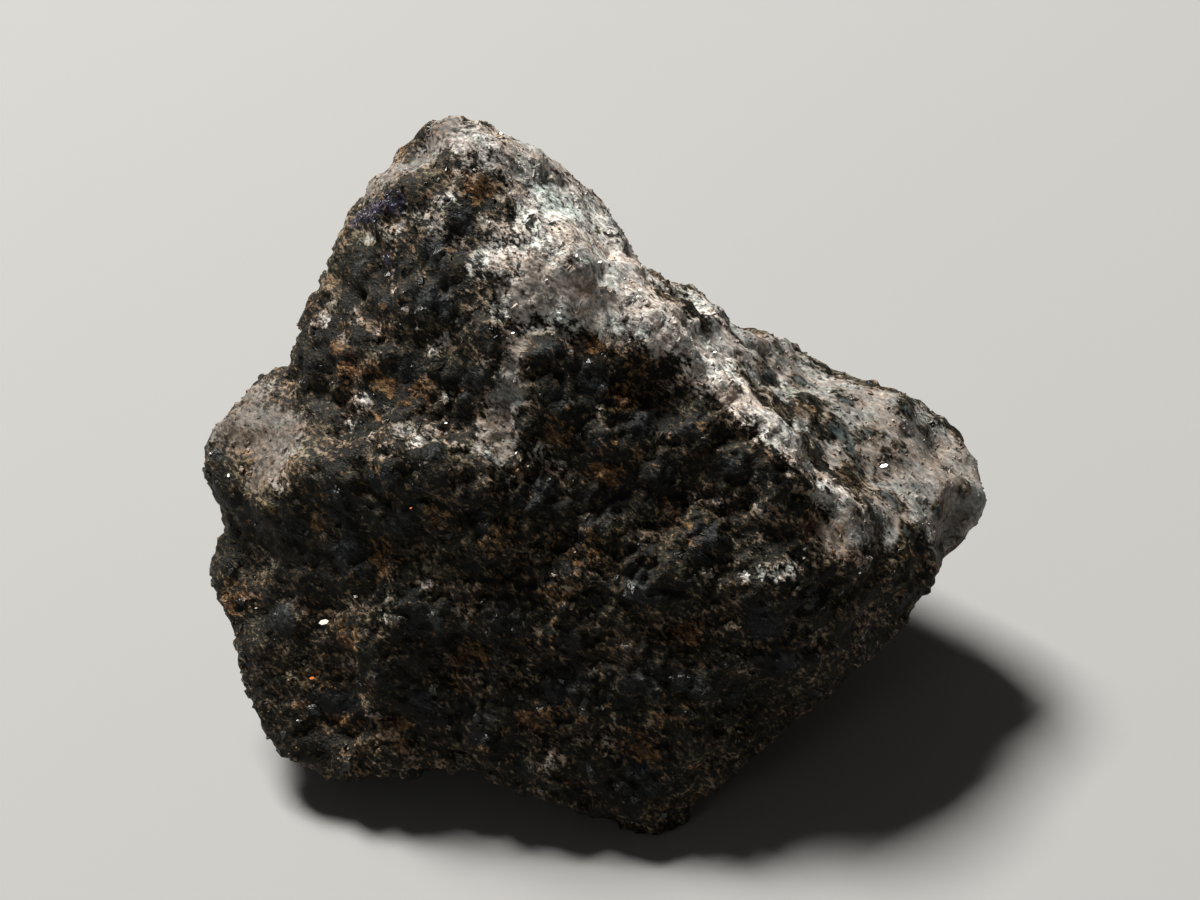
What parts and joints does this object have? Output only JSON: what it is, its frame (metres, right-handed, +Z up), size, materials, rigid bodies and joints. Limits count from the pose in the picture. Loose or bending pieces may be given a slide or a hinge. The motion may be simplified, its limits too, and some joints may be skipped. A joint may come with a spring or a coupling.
{
  "type": "raw iolite crystal",
  "caption": "Raw unpolished lump of granular iolite rock with a leaning peak, a blunt crest, a low shelf behind it, a left ledge and a steep front; rests on small flat feet.",
  "frame": {"origin": "on the surface the stone stands on, below the middle of its box", "axes": "+Z up, +X to the right along the stone's longest side as seen from the front, +Y away from the viewer"},
  "size_m": [0.0366, 0.0252, 0.0271],
  "materials": {
    "stone": "rough broken surface of dark charcoal to green-grey grains with frosty grey-white, pinkish and rust-brown grains between them, a few glassy violet-blue spots, small mica glints"
  },
  "bodies": {
    "root": {"iolite_stone": "stone"}
  },
  "joints": []
}
